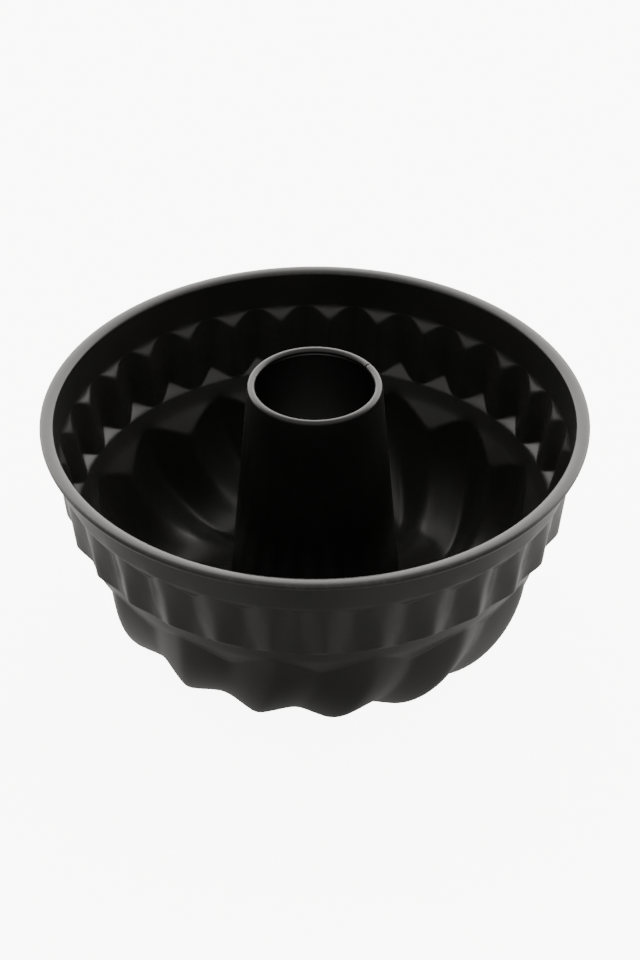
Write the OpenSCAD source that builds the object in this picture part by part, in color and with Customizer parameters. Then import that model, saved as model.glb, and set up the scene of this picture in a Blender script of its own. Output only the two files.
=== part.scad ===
// Fluted ring cake pan with a conical centre tube, pressed from thin coated steel.
// Origin: on the ground under the middle of the pan, with +Z up the tube's axis.

/* [Pan] */
// Outside diameter over the rolled rim
rim_d = 220; // [200:1:240]
// Height of the rim's widest line above the ground
rim_h = 99; // [96:0.5:102]
// Thickness of the steel sheet
sheet = 0.6; // [0.5:0.05:0.65]

/* [Rolled rim] */
// Radius of the wire inside the rolled rim
wire_r = 0.88; // [0.7:0.01:0.95]
// Radius of the bend from the band out to the rim's top
lip_bend = 1.0; // [0.8:0.1:1.3]
// Radius of the domed top of the rim
lip_dome = 5.2; // [4.8:0.1:5.6]

/* [Plain band and ring] */
// Height of the plain band, from the rim's widest line down to the flutes
band_h = 15; // [12:0.5:18]
// Distance from the rim's outside in to the middle of the sheet at the band's lower edge
band_inset = 6.5; // [6.3:0.1:6.8]
// Height of the plain ring between the upper and lower flutes
ring_h = 6.5; // [5:0.5:8]
// Distance that the plain ring narrows, from its upper edge to its lower edge
ring_narrowing = 2.7; // [2:0.1:4]

/* [Upper flutes] */
// Height of the upper flutes
flute_h = 27.6; // [24:0.2:30]
// Distance that the upper flutes' inner folds narrow, from the band to the ring
flute_narrowing = 7.3; // [6:0.1:8]
// Depth of the upper flutes just below the band
flute_top_depth = 2.7; // [1.8:0.1:3]
// Depth of the upper flutes just above the ring
flute_low_depth = 4.2; // [3:0.1:4.8]
// Height of the sloping triangles at the upper flutes' tops
top_facet_h = 4.6; // [3:0.2:6]
// Height of the sloping triangles at the upper flutes' feet
low_facet_h = 3.8; // [3:0.2:6]

/* [Lower flutes] */
// Radius of the lowest circle, which the pan stands on
bottom_r = 63.8; // [60:0.2:68]
// Roundness of the bowl: 2 is an ellipse, and less is a straighter slope
bowl_power = 1.8; // [1.6:0.05:2.1]
// Depth of the lower flutes below their sloping ledges
ledge_depth = 4.9; // [3.4:0.1:5.2]
// Depth of the lower flutes at the lowest circle
bottom_depth = 3.9; // [3:0.05:4.5]
// Length of the sloping ledge at the top of each lower flute
ledge_l = 10.6; // [8:0.2:13]
// Angle that the lower flutes turn, clockwise from above, by the lowest circle
swirl = 13; // [0:0.5:18]

/* [Centre tube] */
// Outside radius of the tube at its mouth
tube_mouth_r = 27; // [24:0.5:29]
// Height of the rolled mouth's middle above the ground
tube_mouth_h = 113.7; // [108:0.1:120]
// Outside radius of the tube in the shell's collar
tube_foot_r = 35.8; // [34:0.1:36.4]
// Radius of the rolled mouth, measured to the outside of the sheet
mouth_roll_r = 1.6; // [1.35:0.05:1.8]
// Direction of the tube's side seam
seam_angle = 35; // [0:1:359]
// Width of the gap that the seam leaves in the rolled mouth
seam_gap = 0.6; // [0.4:0.1:1.5]
// Width of the lap at the seam, as an angle about the tube's axis
seam_lap = 11; // [6:1:16]

/* [Hidden] */
$fn = 180;

// Flutes are symmetric, so each one takes an even number of columns of points.
lower_flutes = 15;
lower_columns = 8;
upper_columns = 4;
columns = lower_flutes * lower_columns;
column_step = 360 / columns;

half_sheet = sheet / 2;
rim_r = rim_d / 2;

// Circles where the plain and fluted zones meet, to the middle of the sheet
band_r = rim_r - band_inset;
band_z = rim_h - band_h;
ring_top_r = band_r - flute_narrowing;
ring_top_z = band_z - flute_h;
ring_low_r = ring_top_r - ring_narrowing;
ring_low_z = ring_top_z - ring_h;

// The rim's section is three arcs, run from the band over the top and round the wire.
band_lean = 4.6;
lip_crest_from = 115;
lip_crest_to = 75;
roll_end = -165;
lip_steps = 6;
roll_steps = 20;
wire_gap = 0.02;
roll_r = wire_r + wire_gap + half_sheet;
wire_c = [rim_r - half_sheet - roll_r, rim_h];
dome_c = wire_c - (lip_dome - roll_r) * [cos(lip_crest_to), sin(lip_crest_to)];
lip_c = dome_c + (lip_dome - lip_bend) * [cos(lip_crest_from), sin(lip_crest_from)];

// The pressed flutes start inside the band's lower edge, a little thinner than the band.
tongue_h = 2;
tongue_half = 0.15;
seat_inset = 0.05;

// A fold never runs out to nothing: this much of each zigzag row is left at its tips.
fold_stub = 0.4;
ridge_slope = 0.113;

// How far the sheet's outward direction tips down, on the flutes and at the ring's two edges
flute_lean = atan(flute_narrowing / flute_h);
ring_lean = atan(ring_narrowing / ring_h);
ring_top_lean = (flute_lean + ring_lean) / 2;
ring_low_lean = ring_lean / 2;

// Bowl: a superellipse down to the lowest circle, then an arc up to the tube's collar
bowl_low_z = -0.2;
bowl_rows = 6;
heel_rows = 3;
heel_r = 40.6;
heel_end = 38.4;
heel_turn = asin((bottom_r - heel_end) / heel_r);
heel_swirl = swirl / 2;
fine_steps = 60;
swirl_power = 1.87;
ridge_round = 0.15;
fold_round = 0.45;

// Each ridge is pressed flat where it stands: this far along it, and below this height.
pad_half_l = 2.2;
pad_below_z = 1.1;

// Collar: turned down between the tube's wall and the hem at the tube's foot
hem_gap = 0.05;
collar_r = tube_foot_r + hem_gap + half_sheet;
collar_top_z = 8.9;
collar_low_z = 4.1;
collar_bend = 1.2;
collar_crest = [collar_r + collar_bend, collar_top_z + collar_bend];
collar_crest_lean = 72.5;

// Tube: the rolled mouth's arc runs to mouth_end, and the hem is the fold round hem_c
mouth_c = [tube_mouth_r - mouth_roll_r, tube_mouth_h];
mouth_mid_r = mouth_roll_r - half_sheet;
mouth_end = 265;
mouth_steps = 20;
tube_cone_low_z = 9.5;
hem_c = [collar_r, 4];
hem_r = half_sheet + hem_gap + half_sheet;
hem_top_z = 8;
hem_steps = 10;

// Seam: the strip stops short of both bends, and the gap cuts right through the mouth's roll
strip_drop = 10;
strip_top_z = tube_mouth_h - strip_drop;
strip_low_z = tube_cone_low_z + 1;
gap_low_z = tube_mouth_h - 1.25 * mouth_roll_r;
gap_reach = 2 * mouth_roll_r;

function arc(centre, radius, from, to, steps) =
    [for (i = [0 : steps]) centre + radius * [cos(from + (to - from) * i / steps),
                                              sin(from + (to - from) * i / steps)]];

function reversed(list) = [for (i = [len(list) - 1 : -1 : 0]) list[i]];

// Distance along a flute's pitch: 0 on the outer ridge and 1 in the inner fold
function pitch_part(column, per_flute) =
    let (m = column % per_flute, half = per_flute / 2)
    (m <= half ? m : per_flute - m) / half;

// Depth across a lower flute as a part of its full depth: a firm ridge and a round fold
function fold(u) =
    let (raw = u < ridge_round ? u * u / (2 * ridge_round) + ridge_round / 2
             : u > 1 - fold_round ? 1 - fold_round / 2 - (1 - u) * (1 - u) / (2 * fold_round)
             : u)
    (raw - ridge_round / 2) / (1 - ridge_round / 2 - fold_round / 2);

// Points of the bowl's ridge line, from the ring's lower edge in to the collar
function bowl_point(t) = [bottom_r + (ring_low_r - bottom_r) * pow(cos(t), 2 / bowl_power),
                          ring_low_z - (ring_low_z - bowl_low_z) * pow(sin(t), 2 / bowl_power)];

fine = [for (i = [0 : fine_steps]) bowl_point(90 * i / fine_steps)];
function run_to(i) = i == 0 ? 0 : run_to(i - 1) + norm(fine[i] - fine[i - 1]);
runs = [for (i = [0 : fine_steps]) run_to(i)];
bowl_run = runs[fine_steps];

// Point on the ridge line at a distance along it
function bowl_at(s) =
    let (i = max([for (k = [0 : fine_steps - 1]) if (runs[k] <= s) k]),
         f = min(1, (s - runs[i]) / (runs[i + 1] - runs[i])))
    fine[i] + f * (fine[i + 1] - fine[i]);

// Outward direction square to the ridge line there
function bowl_out(s) =
    let (a = bowl_at(max(0, s - 1)), b = bowl_at(min(bowl_run, s + 1)), d = (b - a) / norm(b - a))
    [-d[1], d[0]];

function depth_at(s) =
    ledge_depth + (bottom_depth - ledge_depth) * max(0, s - ledge_l) / (bowl_run - ledge_l);

function turn_at(s) = swirl * pow(s / bowl_run, swirl_power);

// A point of the sheet's middle, its outward direction and its angle: [r, z, out, angle]
function bowl_spot(s, w, column) =
    let (p = bowl_at(s), n = bowl_out(s), q = p - n * depth_at(s) * w)
    [q[0], q[1], n, column * column_step - turn_at(s)];

// Outward direction tipped down by an angle
function tipped(lean) = [cos(lean), -sin(lean)];

function flute_spot(z, w, column) =
    let (below = band_z - z,
         deepening = (below - top_facet_h) / (flute_h - top_facet_h),
         depth = flute_top_depth + (flute_low_depth - flute_top_depth) * deepening)
    [band_r - below * ridge_slope - w * depth, z, tipped(flute_lean), column * column_step];

function plain_spot(r, z, n, column) = [r, z, n, column * column_step];

// Heel: the arc inside the lowest circle, where the flutes fade away towards the tube
function heel_spot(part, w, column) =
    let (b = heel_turn * part,
         n = [-sin(b), -cos(b)],
         fade = 1 - part,
         p = [bottom_r - heel_r * sin(b), bowl_low_z + heel_r * (1 - cos(b))],
         q = p - n * bottom_depth * w * fade)
    [q[0], q[1], n, column * column_step - swirl - heel_swirl * part];

function collar_spot(p, n, column) = [p[0], p[1], n, column * column_step - swirl - heel_swirl];

// Every row of the pressed zone at one column, from the band down and in to the collar
function spots(column) =
    let (u = pitch_part(column, upper_columns),
         w = fold(pitch_part(column, lower_columns)),
         wall_run = bowl_run - pad_half_l - ledge_l)
    concat(
        [plain_spot(band_r, band_z, [1, 0], column),
         flute_spot(band_z - fold_stub - (top_facet_h - fold_stub) * u, u, column),
         flute_spot(ring_top_z + fold_stub + (low_facet_h - fold_stub) * (1 - u), u, column),
         plain_spot(ring_top_r, ring_top_z, tipped(ring_top_lean), column),
         plain_spot(ring_low_r, ring_low_z, tipped(ring_low_lean), column),
         bowl_spot(fold_stub + (ledge_l - fold_stub) * w, w, column)],
        [for (i = [1 : bowl_rows])
            bowl_spot(ledge_l + wall_run * (i - 0.5) / (bowl_rows - 0.5), w, column)],
        [bowl_spot(bowl_run, w, column),
         heel_spot(pad_half_l / (bottom_r - heel_end), w, column)],
        [for (i = [1 : heel_rows]) heel_spot(i / heel_rows, w, column)],
        [collar_spot(collar_crest, tipped(collar_crest_lean), column),
         collar_spot([collar_r, collar_top_z], [1, 0], column),
         collar_spot([collar_r, collar_low_z], [1, 0], column)]);

// One side of the sheet at a spot, or of the pressed flat that the pan stands on
function side_point(spot, side, half) =
    let (r = spot[0] + side * half * spot[2][0],
         z = spot[1] < pad_below_z ? half - side * half : spot[1] + side * half * spot[2][1])
    [r * cos(spot[3]), r * sin(spot[3]), z];

function tongue_point(column, side) =
    side_point(plain_spot(band_r + tongue_h * tan(band_lean), band_z + tongue_h, [1, 0], column),
               side, tongue_half);

// A closed loop of points through one column: down the outside and back up the inside
function loop(column) =
    let (all = spots(column), seat = half_sheet - seat_inset)
    concat([tongue_point(column, 1)],
           [for (i = [0 : len(all) - 1]) side_point(all[i], 1, i == 0 ? seat : half_sheet)],
           [for (i = [len(all) - 1 : -1 : 0]) side_point(all[i], -1, i == 0 ? seat : half_sheet)],
           [tongue_point(column, -1)]);

module pressed_flutes() {
    loops = [for (c = [0 : columns - 1]) loop(c)];
    n = len(loops[0]);
    points = [for (c = loops) for (p = c) p];
    faces = [for (c = [0 : columns - 1]) for (i = [0 : n - 1])
        let (a = c * n + i,
             b = c * n + (i + 1) % n,
             d = ((c + 1) % columns) * n + i,
             e = ((c + 1) % columns) * n + (i + 1) % n)
        each [[a, e, b], [a, d, e]]];
    polyhedron(points = points, faces = faces, convexity = 10);
}

// Section of a sheet that follows arcs, as its two sides joined into one outline
function rim_side(side) = concat(
    [[band_r - side * half_sheet, band_z]],
    arc(lip_c, lip_bend + side * half_sheet, 180 - band_lean, lip_crest_from, lip_steps),
    arc(dome_c, lip_dome + side * half_sheet, lip_crest_from, lip_crest_to, lip_steps),
    arc(wire_c, roll_r + side * half_sheet, lip_crest_to, roll_end, roll_steps));

module band_and_rim() {
    rotate_extrude()
        polygon(concat(rim_side(1), reversed(rim_side(-1))));
}

module fluted_shell() {
    color("#1c1b1a")
        union() {
            band_and_rim();
            pressed_flutes();
        }
}

module rim_wire() {
    color("silver")
        rotate_extrude()
            translate(wire_c)
                circle(r = wire_r);
}

// One side of the tube's wall: rolled mouth, cone, collar and hem; side 1 faces the batter.
function tube_side(side) = concat(
    reversed(arc(mouth_c, mouth_mid_r + side * half_sheet, 0, mouth_end, mouth_steps)),
    [[tube_foot_r - half_sheet + side * half_sheet, tube_cone_low_z]],
    arc(hem_c, hem_r - side * half_sheet, 180, 360, hem_steps),
    [[hem_c[0] + hem_r - side * half_sheet, hem_top_z]]);

// Outside radius of the cone at a height
function cone_r(z) =
    tube_mouth_r + (tube_foot_r - tube_mouth_r) * (tube_mouth_h - z) / (tube_mouth_h - tube_cone_low_z);

// The lapped edge of the tube's sheet, inside the cone and rooted in half of its thickness
module seam_strip() {
    rotate([0, 0, seam_angle])
        rotate_extrude(angle = seam_lap)
            polygon([[cone_r(strip_low_z) - 2 * sheet, strip_low_z],
                     [cone_r(strip_low_z) - half_sheet, strip_low_z],
                     [cone_r(strip_top_z) - half_sheet, strip_top_z],
                     [cone_r(strip_top_z) - 2 * sheet, strip_top_z]]);
}

// The gap where the two ends of the sheet meet in the rolled mouth
module mouth_gap() {
    rotate([0, 0, seam_angle])
        translate([mouth_c[0] - gap_reach, -seam_gap / 2, gap_low_z])
            cube([2 * gap_reach, seam_gap, 2 * gap_reach]);
}

module centre_tube() {
    color("#262524")
        union() {
            difference() {
                rotate_extrude()
                    polygon(concat(tube_side(1), reversed(tube_side(-1))));
                mouth_gap();
            }
            seam_strip();
        }
}

fluted_shell();
rim_wire();
centre_tube();
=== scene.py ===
import math

import bpy
import numpy as np
from mathutils import Matrix, Vector


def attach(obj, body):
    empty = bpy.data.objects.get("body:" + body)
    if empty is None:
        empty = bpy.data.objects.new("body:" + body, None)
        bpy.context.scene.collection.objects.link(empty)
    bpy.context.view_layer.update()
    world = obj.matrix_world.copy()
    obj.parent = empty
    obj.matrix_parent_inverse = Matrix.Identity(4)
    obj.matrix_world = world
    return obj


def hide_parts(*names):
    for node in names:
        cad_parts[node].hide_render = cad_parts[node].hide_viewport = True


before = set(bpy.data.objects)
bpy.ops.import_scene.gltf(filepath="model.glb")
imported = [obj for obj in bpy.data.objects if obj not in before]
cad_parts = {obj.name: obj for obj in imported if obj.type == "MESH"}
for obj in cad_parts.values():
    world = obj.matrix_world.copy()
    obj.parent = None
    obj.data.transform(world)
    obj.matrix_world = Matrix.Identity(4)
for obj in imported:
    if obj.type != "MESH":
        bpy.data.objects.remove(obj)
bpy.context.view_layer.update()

# ---------------------------------------------------------------- sizes, in millimetres and degrees
MM = 0.001

# The sheet's thickness, and the gaps that keep the pieces apart
SHEET = 0.6
HALF = SHEET / 2
WIRE_GAP = 0.02
FOLD_GAP = 0.05

# Rolled rim: the roll round the wire, the low dome inward of it and the bend down into the band
RIM_R = 110.0
RIM_Z = 99.0
WIRE_R = 0.88
ROLL_R = WIRE_R + WIRE_GAP + HALF
ROLL_START = -165
DOME_START = 75
LIP_START = 115
LIP_BEND = 1.0
LIP_DOME = 5.2

# Plain band, upright flutes and plain ring
BAND_LEAN = 4.6
BAND_R = RIM_R - 6.5
BAND_Z = RIM_Z - 15.0
RING_TOP_R = BAND_R - 7.3
RING_TOP_Z = BAND_Z - 27.6
RING_LOW_R = RING_TOP_R - 2.7
RING_LOW_Z = RING_TOP_Z - 6.5
RIDGE_SLOPE = 0.113
FLUTE_TOP_DEPTH = 2.7
FLUTE_LOW_DEPTH = 4.2
TOP_FACET_H = 4.6
LOW_FACET_H = 3.8
UPPER_PITCH = 12.0

# How much a ridge widens under the band and a fold above the ring, how softly, and over what height
RIDGE_FLAT = 0.42
FOLD_FLAT = 0.42
FLAT_REACH = 0.08
UPPER_FLAT_H = 10.0

# Roundings across a flute, on its ridge and in its fold, as parts of half a pitch
UPPER_ROUNDS = (0.16, 0.18)
LEDGE_ROUNDS = (0.15, 0.16)
LOWER_ROUNDS = (0.15, 0.45)

# Roundings of the edges round the facets, in line with a ridge and in line with a fold
BAND_REACH = (0.25, 1.2)
TOP_FACET_REACH = (0.1, 0.6)
LOW_FACET_REACH = (0.5, 0.1)
RING_REACH = (1.6, 0.25)
LEDGE_REACH = 0.5

# Swirled flutes, the ledges that they start under, and the heel
BOTTOM_R = 63.8
BOWL_LOW_Z = 0.3
BOWL_POWER = 1.8
LEDGE_DEPTH = 4.9
LEDGE_L = 10.6
LEDGE_CONE_L = 1.5 * LEDGE_L
BOTTOM_DEPTH = 3.9
LOWER_PITCH = 24.0
SWIRL = 13.0
SWIRL_POWER = 1.87
HEEL_R = 40.6
HEEL_END = 38.4
HEEL_SWIRL = SWIRL / 2
FOOT_LIFT = 0.02
FOOT_REACH = 0.3

# Centre tube: its mouth, its cone, and the fold that joins its foot to the shell's collar
TUBE_MOUTH_R = 27.0
TUBE_MOUTH_Z = 113.7
MOUTH_ROLL_R = 1.6
MOUTH_ROLL_START = 265
TUBE_FOOT_R = 35.8
TUBE_CONE_LOW_Z = 9.5
CONE_START_DROP = 1.2
CONE_START_OUT = 0.1
COLLAR_R = TUBE_FOOT_R + FOLD_GAP + HALF
COLLAR_BEND_R = 1.2
COLLAR_BEND_Z = 8.9
COLLAR_TOP_Z = 8.3
COLLAR_LOW_Z = 4.1
HEM_R = HALF + FOLD_GAP + HALF
HEM_Z = 4.0
HEM_TOP_Z = 8.0

# Seam of the tube: its gap in the mouth and down the cone, and the lapped strip inside
SEAM_ANGLE = 35.0
MOUTH_GAP = 0.16
MOUTH_GAP_H = 2.2
CONE_GAP = 0.24
SEAM_LAP = 11.0
LAP_BEHIND = 0.1
STRIP_DROP = 35.0
STRIP_SINK_H = 25.0
STRIP_SINK = SHEET * 0.97
STRIP_FOOT = 1.0

# Mesh of the shell: rows stand close within CREASE of an edge, and columns near ridges and folds
CREASE = 1.2
UPPER_ROWS = (3, 8, 3, 5, 3, 8, 5)
BOWL_LINE_POINTS = 400
BOWL_START = 0.4
PAST_LEDGE = 0.9
LEDGE_ROWS = 13
LEDGE_CROWDING = 1.3
BOWL_ROWS = 25
BOWL_CROWDING = 1.15
HEEL_ROWS = 12
COLUMNS_PER_GAP = 6
COLUMN_CROWDING = 0.6

# Mesh of the tube and of its strip
TUBE_COLUMNS = 181
STRIP_ROWS = 30
STRIP_COLUMNS = 13

# ---------------------------------------------------------------- looks

# Coating: base colours, their change from mottling and rubbing, and the roughness that goes with them
SHELL_TONE = (0.011, 0.0108, 0.0102)
# The tube's tone is the shell's coating made far darker: painted shade for the tube standing deep in the
# pan
TUBE_SHADED_TONE = (0.0015, 0.00148, 0.0014)
COAT_DARK = 0.75
COAT_LIGHT = 1.3
COAT_RUBBED = 2.5
COAT_ROUGHNESS = 0.33
MOTTLE_SMOOTHER = 0.03
MOTTLE_ROUGHER = 0.04
RUBBED_SMOOTHER = 0.06

# Parts of each noise that are used, and the bends, per millimetre, where the coating is rubbed
NOISE_MIDDLE = (0.3, 0.7)
SCUFFS_SHOWN = (0.5, 0.72)
RUBBED_BENDS = (0.08, 0.6)

# Other materials, from dark to light and from smooth to rough
STEEL_TONES = ((0.42, 0.42, 0.43, 1), (0.6, 0.6, 0.61, 1))
STEEL_ROUGHNESS = (0.25, 0.4)
PAPER_TONES = ((0.86, 0.86, 0.85, 1), (0.88, 0.88, 0.87, 1))
PAPER_ROUGHNESS = 0.9

# ---------------------------------------------------------------- light and camera

# Brightness of the studio's parts, as the pan's surfaces reflect them, and of the sun on the seen floor
BACKDROP = 4.8
CEILING = 0.9
WALLS = 0.1
FLOOR_SUN = 30.0
# The reflected floor's glow: a painted contact shadow near the pan, a painted shadow of the pan straight in
# front, and painted light beside and behind it
FLOOR_NEAR_SHADOW = 0.04
FLOOR_FRONT = 0.5
FLOOR_DIP_SHADOW = 0.66
FLOOR_SIDE = 1.15
FLOOR_BACK = 2.4
WARM_WHITE = (1.0, 0.985, 0.96, 1)

# Where the brightness changes, in metres on the floor and as parts of a direction in the world
NEAR_TO_FRONT = (0.06, 0.14)
DIP_TO_SIDE = (0.0, 0.09)
FRONT_TO_BACK = (-0.1, 0.25)
WALLS_TO_CEILING = (0.22, 0.36)
ROOM_TO_BACKDROP = (0.05, 0.5)
BACKDROP_FADE = (0.75, 0.95)

# Floors, in metres
FLOOR_HALF_WIDTH = 8.0
REFLECTED_FLOOR_DROP = 0.0001

# Camera: degrees and millimetres, with the clipping in metres; its place is from the rim's middle
CAMERA_AZIMUTH = 3.5
CAMERA_ELEVATION = 36.8
CAMERA_LENS = 112.5
CAMERA_SENSOR = 36.0
CAMERA_CLIP = (0.05, 50)
CAMERA_RIGHT = 2.07
CAMERA_DOWN = 25.26
CAMERA_BACK = 1200.7

# ---------------------------------------------------------------- curves and sheets


def smooth_min(a, b, reach):
    """The lower of a and b, with the corner between them rounded over reach."""
    return np.minimum(a, b) - np.maximum(reach - np.abs(a - b), 0) ** 2 / (4 * reach)


def smooth_max(a, b, reach):
    """The higher of a and b, with the corner between them rounded over reach."""
    return -smooth_min(-a, -b, reach)


def between(ends, part):
    """From the first of two ends to the second as part goes from 0 to 1."""
    return ends[0] + (ends[1] - ends[0]) * part


def arc(centre, radius, start, end, steps):
    """Points on an arc in the section plane, as (radius, height) rows."""
    a = np.radians(np.linspace(start, end, steps + 1))
    return np.column_stack([centre[0] + radius * np.cos(a), centre[1] + radius * np.sin(a)])


def straight(a, b, steps):
    """Points from a towards b, without b itself."""
    t = np.linspace(0, 1, steps, endpoint=False)[:, None]
    return np.array(a) * (1 - t) + np.array(b) * t


def rows_between(start, end, steps, crowding=1.0):
    """Rows from start towards end, without end itself; above 1, crowding packs them near the start."""
    part = np.linspace(0, 1, steps, endpoint=False)[:, None] ** crowding
    return start * (1 - part) + end * part


def pitch_part(degrees, pitch):
    """0 on an outer ridge and 1 in the inner fold half a pitch away."""
    x = np.mod(degrees / pitch, 1.0)
    return 1 - np.abs(1 - 2 * x)


def across_flute(u, rounds):
    """Depth across a flute, as a part of its full depth, with its ridge and its fold rounded."""
    ridge_round, fold_round = rounds
    raw = np.where(u < ridge_round, u * u / (2 * ridge_round) + ridge_round / 2, u)
    raw = np.where(u > 1 - fold_round, 1 - fold_round / 2 - (1 - u) ** 2 / (2 * fold_round), raw)
    return (raw - ridge_round / 2) / (1 - ridge_round / 2 - fold_round / 2)


def crowded_columns(gap):
    """Angles all round that crowd together at every multiple of gap degrees."""
    x = np.arange(COLUMNS_PER_GAP) / COLUMNS_PER_GAP
    x = x - COLUMN_CROWDING * np.sin(2 * math.pi * x) / (2 * math.pi)
    return (np.arange(round(360 / gap))[:, None] * gap + x[None, :] * gap).ravel()


def ring_points(r, z, degrees):
    """Points in space from grids of radius, height and angle about the pan's axis."""
    a = np.radians(degrees)
    return np.stack(np.broadcast_arrays(r * np.cos(a), r * np.sin(a), z), axis=2)


def grid_normals(points, wrap):
    """Unit normals of a grid of points; with wrap, the last column meets the first."""
    down = np.gradient(points, axis=0)
    if wrap:
        along = np.roll(points, -1, axis=1) - np.roll(points, 1, axis=1)
    else:
        along = np.gradient(points, axis=1)
    n = np.cross(down, along)
    return n / np.linalg.norm(n, axis=2, keepdims=True)


def bend(points, normals, wrap):
    """How sharply the sheet bends away from its front side at each point, per millimetre."""
    total = np.zeros(points.shape[:2])
    for axis in (0, 1):
        ahead, behind = np.roll(points, -1, axis), np.roll(points, 1, axis)
        run = np.linalg.norm(ahead - behind, axis=2) / 2
        part = np.sum((2 * points - ahead - behind) * normals, axis=2) / run ** 2
        if axis == 0 or not wrap:
            np.moveaxis(part, axis, 0)[[0, -1]] = 0
        total += part
    return total


def sheet_faces(rows, cols, wrap):
    """Quads of a grid's two sides and of the borders between them."""
    index = np.arange(rows * cols).reshape(rows, cols)
    if wrap:
        index = np.column_stack([index, index[:, :1]])
    a, b = index[:-1, :-1].ravel(), index[1:, :-1].ravel()
    c, d = index[1:, 1:].ravel(), index[:-1, 1:].ravel()
    other = rows * cols
    quads = [np.column_stack([a, b, c, d]), np.column_stack([d, c, b, a]) + other]
    borders = [index[0, ::-1], index[-1, :]]
    if not wrap:
        borders += [index[:, 0], index[::-1, -1]]
    for line in borders:
        p, q = line[:-1], line[1:]
        quads.append(np.column_stack([p, p + other, q + other, q]))
    return np.concatenate(quads)


def sheet_mesh(name, points, wrap):
    """A closed mesh of thin sheet round a grid of points in its middle, with its bends in "edge"."""
    normals = grid_normals(points, wrap)
    sides = [points + normals * HALF, points - normals * HALF]
    vertices = np.concatenate([s.reshape(-1, 3) for s in sides]) * MM
    mesh = bpy.data.meshes.new(name)
    mesh.from_pydata(vertices.tolist(), [], sheet_faces(*points.shape[:2], wrap).tolist())
    mesh.validate()
    mesh.shade_smooth()
    front = bend(points, normals, wrap).ravel()
    edge = mesh.attributes.new("edge", "FLOAT", "POINT")
    edge.data.foreach_set("value", np.concatenate([front, -front]).clip(0, 1).astype(np.float32))
    piece = bpy.data.objects.new(name, mesh)
    bpy.context.scene.collection.objects.link(piece)
    return piece


# ---------------------------------------------------------------- fluted shell


def next_centre(centre, radius, next_radius, degrees):
    """Centre of the arc that takes over smoothly from another arc at an angle."""
    a = math.radians(degrees)
    away = radius - next_radius
    return centre[0] + away * math.cos(a), centre[1] + away * math.sin(a)


def rim_section():
    """The rolled rim's middle line, from its tucked end, round the wire and down into the band."""
    wire = (RIM_R - HALF - ROLL_R, RIM_Z)
    dome = next_centre(wire, ROLL_R, LIP_DOME, DOME_START)
    lip = next_centre(dome, LIP_DOME, LIP_BEND, LIP_START)
    return np.concatenate([arc(wire, ROLL_R, ROLL_START, DOME_START, steps=20)[:-1],
                           arc(dome, LIP_DOME, DOME_START, LIP_START, steps=6)[:-1],
                           arc(lip, LIP_BEND, LIP_START, 180 - BAND_LEAN, steps=6)])


def across_upper(z, degrees):
    """Depth across an upper flute; its ridge flattens towards the band, and its fold towards the ring."""
    u = pitch_part(degrees, UPPER_PITCH)
    near_band = np.clip(1 - (BAND_Z - z) / UPPER_FLAT_H, 0, 1)
    near_ring = np.clip(1 - (z - RING_TOP_Z) / UPPER_FLAT_H, 0, 1)
    u = smooth_min(u * (1 + FOLD_FLAT * near_ring), 1, FLAT_REACH)
    u = 1 - smooth_min((1 - u) * (1 + RIDGE_FLAT * near_band), 1, FLAT_REACH)
    return across_flute(np.clip(u, 0, 1), UPPER_ROUNDS)


def upper_radius(z, degrees):
    """Radius of the band, the upper flutes and the plain ring at a height and an angle."""
    across = across_upper(z, degrees)
    below = BAND_Z - z
    above = z - RING_TOP_Z
    deepening = (below - TOP_FACET_H) / (BAND_Z - RING_TOP_Z - TOP_FACET_H)
    depth = between((FLUTE_TOP_DEPTH, FLUTE_LOW_DEPTH), deepening)
    flank = BAND_R - below * RIDGE_SLOPE - depth * across
    band = BAND_R - below * math.tan(math.radians(BAND_LEAN))
    top_facet = BAND_R - below * (FLUTE_TOP_DEPTH / TOP_FACET_H + RIDGE_SLOPE)
    low_facet = RING_TOP_R + above * (FLUTE_LOW_DEPTH / LOW_FACET_H + RIDGE_SLOPE)
    ring = RING_TOP_R + above * (RING_TOP_R - RING_LOW_R) / (RING_TOP_Z - RING_LOW_Z)
    flutes = smooth_max(flank, top_facet, between(TOP_FACET_REACH, across))
    wall = smooth_min(band, flutes, between(BAND_REACH, across))
    foot = smooth_max(ring, low_facet, between(LOW_FACET_REACH, across))
    return smooth_min(wall, foot, between(RING_REACH, across))


def upper_grid(degrees, top_z):
    """Radius, height and angle from the band down to the ring, in rows that follow the facets' edges."""
    top_edge = BAND_Z - TOP_FACET_H * across_upper(BAND_Z - TOP_FACET_H / 2, degrees)
    low_edge = RING_TOP_Z + LOW_FACET_H * (1 - across_upper(RING_TOP_Z + LOW_FACET_H / 2, degrees))
    flat = np.zeros_like(degrees)
    ends = (flat + top_z, flat + BAND_Z + CREASE, top_edge, top_edge - CREASE,
            low_edge + CREASE, low_edge, flat + RING_TOP_Z - CREASE, flat + RING_LOW_Z)
    z = np.concatenate([rows_between(*part) for part in zip(ends, ends[1:], UPPER_ROWS)])
    return upper_radius(z, degrees[None, :]), z, degrees + np.zeros_like(z)


def bowl_line():
    """The ridge line of the bowl: points, outward directions and distances along it."""
    t = np.radians(np.linspace(0, 90, BOWL_LINE_POINTS))
    r = BOTTOM_R + (RING_LOW_R - BOTTOM_R) * np.clip(np.cos(t), 0, 1) ** (2 / BOWL_POWER)
    z = RING_LOW_Z - (RING_LOW_Z - BOWL_LOW_Z) * np.sin(t) ** (2 / BOWL_POWER)
    run = np.concatenate([[0], np.cumsum(np.hypot(np.diff(r), np.diff(z)))])
    dr, dz = np.gradient(r, run), np.gradient(z, run)
    return np.array([r, z]), np.array([-dz, dr]) / np.hypot(dr, dz), run


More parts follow.
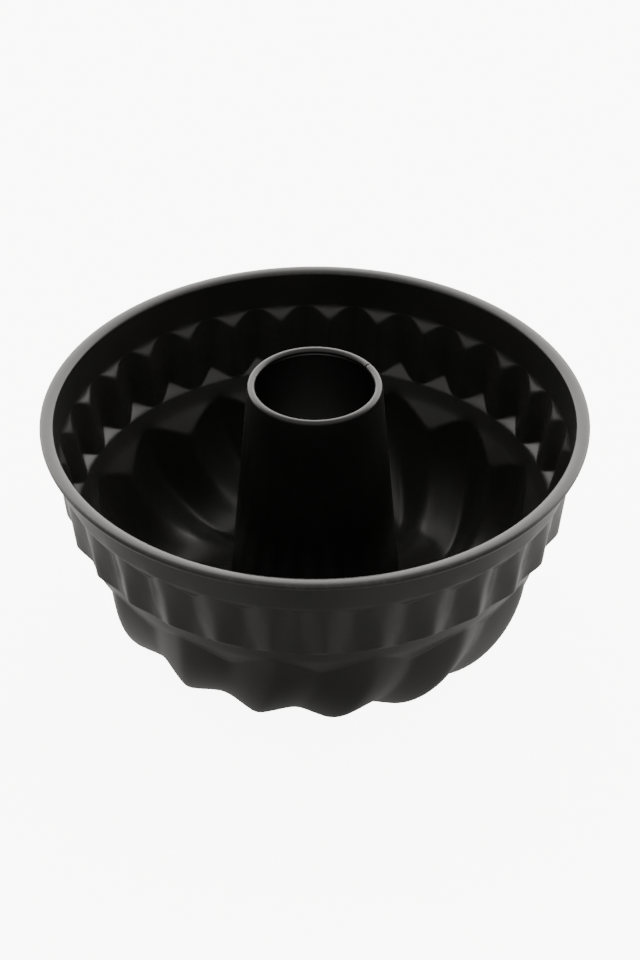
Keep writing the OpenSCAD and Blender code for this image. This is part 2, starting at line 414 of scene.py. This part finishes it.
def ledge_depths(line, out, run):
    """Distances square to the ridge line, in to the straight cone that the ledges lie on."""
    edge = np.array([[RING_LOW_R], [RING_LOW_Z]])
    at = np.searchsorted(run, LEDGE_L)
    slope = line[:, at] - out[:, at] * LEDGE_DEPTH - edge[:, 0]
    offset = line - edge
    depths = (offset[0] * slope[1] - offset[1] * slope[0]) / (out[0] * slope[1] - out[1] * slope[0])
    return np.interp(np.minimum(run, LEDGE_CONE_L), run, depths)


def bowl_rows(across, ledges, run):
    """Distances down the ridge line, in rows that follow the ledges' edges."""
    on_ledge = run < LEDGE_L
    edge = np.interp(LEDGE_DEPTH * across, ledges[on_ledge], run[on_ledge])
    edge = np.maximum(edge, CREASE) + PAST_LEDGE
    flat = np.zeros_like(across)
    return np.concatenate([rows_between(flat + BOWL_START, flat + CREASE, steps=2),
                           edge - rows_between(flat, edge - CREASE, LEDGE_ROWS, LEDGE_CROWDING)[::-1],
                           rows_between(edge, flat + run[-1], BOWL_ROWS, BOWL_CROWDING)[1:],
                           flat[None, :] + run[-1]])


def bowl_grid(degrees):
    """Radius, height and angle of the swirled lower flutes."""
    line, out, run = bowl_line()
    ledges = ledge_depths(line, out, run)
    u = pitch_part(degrees, LOWER_PITCH)
    across = across_flute(u, LEDGE_ROUNDS)
    s = bowl_rows(across, ledges, run)
    onward = np.clip((s - LEDGE_L) / (run[-1] - LEDGE_L), 0, 1)
    across = across * (1 - onward) + across_flute(u, LOWER_ROUNDS) * onward
    full = between((LEDGE_DEPTH, BOTTOM_DEPTH), onward)
    depth = smooth_min(full * across, np.interp(s, run, ledges), LEDGE_REACH)
    r = np.interp(s, run, line[0]) - np.interp(s, run, out[0]) * depth
    z = np.interp(s, run, line[1]) - np.interp(s, run, out[1]) * depth
    return r, z, degrees - SWIRL * (s / run[-1]) ** SWIRL_POWER


def heel_grid(degrees):
    """The arc inside the lowest circle, where the flutes fade away towards the tube."""
    part = np.linspace(0, 1, HEEL_ROWS + 1)[1:, None]
    b = math.asin((BOTTOM_R - HEEL_END) / HEEL_R) * part
    across = across_flute(pitch_part(degrees, LOWER_PITCH), LOWER_ROUNDS)
    depth = BOTTOM_DEPTH * (1 - part) * across[None, :]
    r = BOTTOM_R - HEEL_R * np.sin(b) + np.sin(b) * depth
    z = BOWL_LOW_Z + HEEL_R * (1 - np.cos(b)) + np.cos(b) * depth
    return r, z, degrees - SWIRL - HEEL_SWIRL * part


def collar_section():
    """The bend from the heel down into the collar that the tube's hem grips."""
    centre = (COLLAR_R + COLLAR_BEND_R, COLLAR_BEND_Z)
    low = (COLLAR_R, COLLAR_LOW_Z)
    return np.concatenate([arc(centre, COLLAR_BEND_R, start=75, end=180, steps=8),
                           straight((COLLAR_R, COLLAR_TOP_Z), low, steps=4),
                           [low]])


def all_round(section, degrees):
    """Radius, height and angle of a section that is the same at every angle."""
    flat = np.zeros_like(degrees)
    return section[:, :1] + flat, section[:, 1:] + flat, degrees + 0 * section[:, :1]


def soften_rows(grid, middle, reach, passes):
    """Rounds the crease that runs along the middle row, over reach rows to each side."""
    for _ in range(passes):
        first, last = middle - reach, middle + reach + 1
        grid[first:last] = (grid[first - 1:last - 1] + 2 * grid[first:last] + grid[first + 1:last + 1]) / 4


def make_shell():
    """The pan's one pressed sheet, from the rolled rim to the collar."""
    degrees = crowded_columns(UPPER_PITCH / 2)
    rim = rim_section()
    parts = [all_round(rim, degrees),
             upper_grid(degrees, rim[-1, 1] - CREASE),
             bowl_grid(degrees),
             heel_grid(degrees),
             all_round(collar_section(), degrees - SWIRL - HEEL_SWIRL)]
    ring_edge = sum(len(p[0]) for p in parts[:2])
    heel_edge = sum(len(p[0]) for p in parts[:4])
    r, z, a = (np.concatenate([p[i] for p in parts]) for i in range(3))
    for grid in (r, z, a):
        soften_rows(grid, ring_edge, reach=3, passes=3)
        soften_rows(grid, heel_edge, reach=2, passes=2)
    z[:heel_edge] = smooth_max(z[:heel_edge], HALF + FOOT_LIFT, FOOT_REACH)
    return sheet_mesh("pressed_shell", ring_points(r, z, a), wrap=True)


# ---------------------------------------------------------------- centre tube


def cone_radius(z):
    """Outside radius of the tube's cone at a height."""
    return np.interp(z, [TUBE_CONE_LOW_Z, TUBE_MOUTH_Z], [TUBE_FOOT_R, TUBE_MOUTH_R])


def tube_section():
    """The tube's middle line, from the rolled mouth's tucked end down to the hem's free edge."""
    mouth = (TUBE_MOUTH_R - MOUTH_ROLL_R, TUBE_MOUTH_Z)
    cone_top = (TUBE_MOUTH_R - HALF + CONE_START_OUT, TUBE_MOUTH_Z - CONE_START_DROP)
    foot = (TUBE_FOOT_R - HALF, TUBE_CONE_LOW_Z)
    hem = (COLLAR_R, HEM_Z)
    hem_side = COLLAR_R + HEM_R
    hem_top = (hem_side, HEM_TOP_Z)
    return np.concatenate([arc(mouth, MOUTH_ROLL_R - HALF, MOUTH_ROLL_START, 0, steps=30),
                           straight(cone_top, foot, steps=40),
                           straight(foot, (foot[0], HEM_Z), steps=6),
                           arc(hem, HEM_R, start=180, end=360, steps=12),
                           straight((hem_side, HEM_Z + SHEET), hem_top, steps=5),
                           [hem_top]])


def make_tube():
    """The tube's one rolled sheet, open along the seam."""
    section = tube_section()
    r, z = section[:, :1], section[:, 1:]
    gap = np.where(z > TUBE_MOUTH_Z - MOUTH_GAP_H, MOUTH_GAP, CONE_GAP)
    gap_angle = np.degrees(gap / r)
    degrees = SEAM_ANGLE + gap_angle / 2 + (360 - gap_angle) * np.linspace(0, 1, TUBE_COLUMNS)[None, :]
    return sheet_mesh("rolled_tube", ring_points(r, z, degrees), wrap=False)


def make_seam_strip():
    """The lapped end of the tube's sheet inside the cone, pressed flat into the wall at its top."""
    z = np.linspace(TUBE_MOUTH_Z - STRIP_DROP, TUBE_CONE_LOW_Z + STRIP_FOOT, STRIP_ROWS)[:, None]
    sink = STRIP_SINK * np.clip((z - z.max()) / STRIP_SINK_H + 1, 0, 1)
    r = cone_radius(z) - SHEET - HALF + sink
    degrees = SEAM_ANGLE + SEAM_LAP * (np.linspace(0, 1, STRIP_COLUMNS)[None, :] - LAP_BEHIND)
    return sheet_mesh("tube_seam_strip", ring_points(r, z, degrees), wrap=False)


# ---------------------------------------------------------------- material nodes


def new_material(name):
    """A node material, with its nodes, its links and its main shader."""
    material = bpy.data.materials.new(name)
    material.use_nodes = True
    nodes = material.node_tree.nodes
    return material, nodes, material.node_tree.links, nodes["Principled BSDF"]


def noise(nodes, links, coords, scale, detail, rough=0.5):
    """Procedural noise from 0 to 1; scale is in features per metre."""
    node = nodes.new("ShaderNodeTexNoise")
    for key, number in (("Scale", scale), ("Detail", detail), ("Roughness", rough)):
        node.inputs[key].default_value = number
    links.new(coords, node.inputs["Vector"])
    return node.outputs["Fac"]


def ramp(nodes, links, value, span, results):
    """Remaps value from the span's two ends to the two results, held beyond them."""
    node = nodes.new("ShaderNodeMapRange")
    for key, number in zip(("From Min", "From Max", "To Min", "To Max"), span + results):
        node.inputs[key].default_value = number
    links.new(value, node.inputs["Value"])
    return node.outputs["Result"]


def combine(nodes, links, operation, a, b):
    """The result of one Math node from two outputs."""
    node = nodes.new("ShaderNodeMath")
    node.operation = operation
    links.new(a, node.inputs[0])
    links.new(b, node.inputs[1])
    return node.outputs[0]


def mix_value(nodes, links, factor, a, b):
    """Blends from a to b, each a number or an output, as factor goes from 0 to 1."""
    node = nodes.new("ShaderNodeMix")
    links.new(factor, node.inputs["Factor"])
    for socket, value in ((node.inputs["A"], a), (node.inputs["B"], b)):
        if isinstance(value, float):
            socket.default_value = value
        else:
            links.new(value, socket)
    return node.outputs["Result"]


def mix_colour(nodes, links, factor, a, b):
    """Blends from a to b, each a colour or an output, as factor goes from 0 to 1."""
    node = nodes.new("ShaderNodeMix")
    node.data_type = "RGBA"
    links.new(factor, node.inputs["Factor"])
    for socket, value in (("A", a), ("B", b)):
        target = [i for i in node.inputs if i.name == socket and i.type == "RGBA"][0]
        if isinstance(value, tuple):
            target.default_value = value
        else:
            links.new(value, target)
    return [o for o in node.outputs if o.type == "RGBA"][0]


# ---------------------------------------------------------------- materials


def coating(name, tone):
    """Black non-stick coating: satin, mottled, with a sprayed texture, and rubbed thin on outward bends."""
    material, nodes, links, shader = new_material(name)
    coords = nodes.new("ShaderNodeTexCoord").outputs["Object"]
    cloud = noise(nodes, links, coords, scale=28, detail=4)
    scuffs = noise(nodes, links, coords, scale=260, detail=5, rough=0.65)
    grain = noise(nodes, links, coords, scale=1500, detail=2)
    edge = nodes.new("ShaderNodeAttribute")
    edge.attribute_name = "edge"
    bends = ramp(nodes, links, edge.outputs["Fac"], RUBBED_BENDS, (0.0, 1.0))
    worn = combine(nodes, links, "MULTIPLY", bends, ramp(nodes, links, scuffs, SCUFFS_SHOWN, (0.0, 1.0)))
    dark, light, rubbed = (tuple(c * k for c in tone) + (1,) for k in (COAT_DARK, COAT_LIGHT, COAT_RUBBED))
    coat = mix_colour(nodes, links, cloud, dark, light)
    links.new(mix_colour(nodes, links, worn, coat, rubbed), shader.inputs["Base Color"])
    mottled = (COAT_ROUGHNESS - MOTTLE_SMOOTHER, COAT_ROUGHNESS + MOTTLE_ROUGHER)
    satin = ramp(nodes, links, cloud, NOISE_MIDDLE, mottled)
    roughness = mix_value(nodes, links, worn, satin, COAT_ROUGHNESS - RUBBED_SMOOTHER)
    links.new(roughness, shader.inputs["Roughness"])
    shader.inputs["IOR"].default_value = 1.5
    bump = nodes.new("ShaderNodeBump")
    bump.inputs["Strength"].default_value = 0.12
    bump.inputs["Distance"].default_value = 0.00004
    links.new(grain, bump.inputs["Height"])
    links.new(bump.outputs["Normal"], shader.inputs["Normal"])
    return material


def drawn_steel(name):
    """Plain steel wire with faint streaks."""
    material, nodes, links, shader = new_material(name)
    coords = nodes.new("ShaderNodeTexCoord").outputs["Object"]
    streak = noise(nodes, links, coords, scale=400, detail=3)
    links.new(mix_colour(nodes, links, streak, *STEEL_TONES), shader.inputs["Base Color"])
    links.new(ramp(nodes, links, streak, NOISE_MIDDLE, STEEL_ROUGHNESS), shader.inputs["Roughness"])
    shader.inputs["Metallic"].default_value = 1.0
    return material


def paper_floor(name):
    """Matt white paper."""
    material, nodes, links, shader = new_material(name)
    coords = nodes.new("ShaderNodeTexCoord").outputs["Object"]
    fibre = noise(nodes, links, coords, scale=60, detail=3)
    links.new(mix_colour(nodes, links, fibre, *PAPER_TONES), shader.inputs["Base Color"])
    shader.inputs["Roughness"].default_value = PAPER_ROUGHNESS
    return material


def glowing_floor(name):
    """A glowing floor with painted light and shadow: a painted contact shadow near the pan and a painted
    shadow of the pan straight in front, with brighter painted light beside and behind it.
    """
    material, nodes, links, shader = new_material(name)
    coords = nodes.new("ShaderNodeTexCoord").outputs["Object"]
    length = nodes.new("ShaderNodeVectorMath")
    length.operation = "LENGTH"
    links.new(coords, length.inputs[0])
    split = nodes.new("ShaderNodeSeparateXYZ")
    links.new(coords, split.inputs[0])
    aside = nodes.new("ShaderNodeMath")
    aside.operation = "ABSOLUTE"
    links.new(split.outputs["X"], aside.inputs[0])
    # Painted contact shadow near the pan, and painted shadow of the pan straight in front
    near = ramp(nodes, links, length.outputs["Value"], NEAR_TO_FRONT, (FLOOR_NEAR_SHADOW, FLOOR_FRONT))
    dip = ramp(nodes, links, aside.outputs[0], DIP_TO_SIDE, (FLOOR_DIP_SHADOW, FLOOR_SIDE))
    front = combine(nodes, links, "MULTIPLY", near, dip)
    behind = ramp(nodes, links, split.outputs["Y"], FRONT_TO_BACK, (0.0, 1.0))
    links.new(mix_value(nodes, links, behind, front, FLOOR_BACK), shader.inputs["Emission Strength"])
    shader.inputs["Emission Color"].default_value = WARM_WHITE
    shader.inputs["Base Color"].default_value = (0.0, 0.0, 0.0, 1)
    shader.inputs["Specular IOR Level"].default_value = 0.0
    return material


# ---------------------------------------------------------------- the object

shell = make_shell()
tube = make_tube()
strip = make_seam_strip()

shell_coating = coating("shell_coating", SHELL_TONE)
# The tube's copy of the coating is darker than the shell's: painted shade
tube_coating = coating("tube_coating", TUBE_SHADED_TONE)
shell.data.materials.append(shell_coating)
tube.data.materials.append(tube_coating)
strip.data.materials.append(tube_coating)

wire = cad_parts["rim_wire"]
wire.data.materials.clear()
wire.data.materials.append(drawn_steel("wire_steel"))

for piece, node, slot in ((shell, "fluted_shell", "shell_coating"), (tube, "centre_tube", "tube_coating"),
                          (strip, "centre_tube", "tube_coating")):
    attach(piece, "root")
    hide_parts(node)

# ---------------------------------------------------------------- floor, lights and camera


def make_floor(name, drop, paper):
    """A large plain square; drop is how far it lies below the pan."""
    half = FLOOR_HALF_WIDTH
    corners = [(-half, -half, -drop), (half, -half, -drop), (half, half, -drop), (-half, half, -drop)]
    mesh = bpy.data.meshes.new(name)
    mesh.from_pydata(corners, [], [(0, 1, 2, 3)])
    floor = bpy.data.objects.new(name, mesh)
    floor.data.materials.append(paper)
    bpy.context.scene.collection.objects.link(floor)
    return floor


def make_floors():
    """The floor that is seen, and the self-lit floor, with the pan's shadow painted into its glow, that
    only the pan's surfaces reflect.
    """
    seen = make_floor("floor", 0.0, paper_floor("floor_paper"))
    seen.visible_glossy = False
    seen.visible_diffuse = False
    seen.visible_shadow = False
    reflected = make_floor("reflected_floor", REFLECTED_FLOOR_DROP, glowing_floor("reflected_floor_glow"))
    reflected.visible_camera = False
    return seen


def studio_world():
    """Soft studio surroundings: a bright backdrop behind, a dimmer ceiling and a dark camera side."""
    world = bpy.data.worlds.new("studio")
    world.use_nodes = True
    nodes, links = world.node_tree.nodes, world.node_tree.links
    split = nodes.new("ShaderNodeSeparateXYZ")
    links.new(nodes.new("ShaderNodeTexCoord").outputs["Generated"], split.inputs[0])
    back, up = split.outputs["Y"], split.outputs["Z"]
    room = ramp(nodes, links, up, WALLS_TO_CEILING, (WALLS, CEILING))
    lit = ramp(nodes, links, back, ROOM_TO_BACKDROP, (0.0, 1.0))
    faded = ramp(nodes, links, up, BACKDROP_FADE, (1.0, 0.0))
    brightness = mix_value(nodes, links, combine(nodes, links, "MULTIPLY", lit, faded), room, BACKDROP)
    links.new(brightness, nodes["Background"].inputs["Strength"])
    nodes["Background"].inputs["Color"].default_value = WARM_WHITE
    bpy.context.scene.world = world


def floor_sun(floor):
    """Even light from straight above, on the seen floor only."""
    lamp = bpy.data.lights.new("floor_light", "SUN")
    lamp.energy = FLOOR_SUN
    lamp.use_shadow = False
    light = bpy.data.objects.new("floor_light", lamp)
    bpy.context.scene.collection.objects.link(light)
    lit = bpy.data.collections.new("lit_floor")
    lit.objects.link(floor)
    light.light_linking.receiver_collection = lit


def make_camera():
    """A long lens that looks down on the pan and aims a little right of and below the rim's middle."""
    azimuth, elevation = math.radians(CAMERA_AZIMUTH), math.radians(CAMERA_ELEVATION)
    back = Vector((math.sin(azimuth) * math.cos(elevation), -math.cos(azimuth) * math.cos(elevation),
                   math.sin(elevation)))
    right = Vector((math.cos(azimuth), math.sin(azimuth), 0))
    up = back.cross(right)
    data = bpy.data.cameras.new("camera")
    data.lens, data.sensor_width = CAMERA_LENS, CAMERA_SENSOR
    data.clip_start, data.clip_end = CAMERA_CLIP
    camera = bpy.data.objects.new("camera", data)
    rim_centre = Vector((0, 0, RIM_Z * MM))
    place = rim_centre + (CAMERA_RIGHT * right - CAMERA_DOWN * up + CAMERA_BACK * back) * MM
    camera.matrix_world = Matrix.Translation(place) @ Matrix((right, up, back)).transposed().to_4x4()
    bpy.context.scene.collection.objects.link(camera)
    bpy.context.scene.camera = camera


floor_sun(make_floors())
studio_world()
make_camera()
